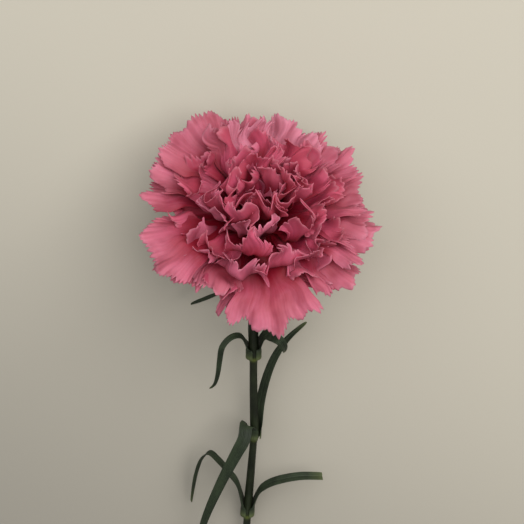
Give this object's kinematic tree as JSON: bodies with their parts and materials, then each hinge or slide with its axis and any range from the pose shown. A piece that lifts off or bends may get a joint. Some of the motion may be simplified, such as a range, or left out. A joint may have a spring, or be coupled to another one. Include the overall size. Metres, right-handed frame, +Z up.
{
  "type": "cut carnation",
  "caption": "Cut carnation lying down: a ruffled double bloom in a toothed calyx on a jointed stem with narrow paired leaves.",
  "frame": {"origin": "on the table, under the middle of the flower's footprint as it lies", "axes": "+Z up from the table, +Y from the cut end of the stem towards the bloom, +X to the right seen from above with the bloom away from the viewer"},
  "size_m": [0.0923, 0.2427, 0.0621],
  "materials": {
    "petal": "soft matt, raspberry pink with paler edges",
    "calyx": "smooth waxy green",
    "stem": "smooth dark green, paler rings at the nodes",
    "leaf": "waxy grey-green, faint lengthwise veins"
  },
  "bodies": {
    "root": {"bloom": "petal", "calyx": "calyx", "bract_1": "calyx", "bract_2": "calyx", "bract_3": "calyx", "bract_4": "calyx", "stem": "stem", "leaf_top_left": "leaf", "leaf_top_right": "leaf", "leaf_a_left": "leaf", "leaf_a_right": "leaf", "leaf_b_left": "leaf", "leaf_b_right": "leaf", "leaf_c_left": "leaf", "leaf_c_right": "leaf", "leaf_d_left": "leaf", "leaf_d_right": "leaf", "leaf_e_left": "leaf", "leaf_e_right": "leaf"}
  },
  "joints": []
}
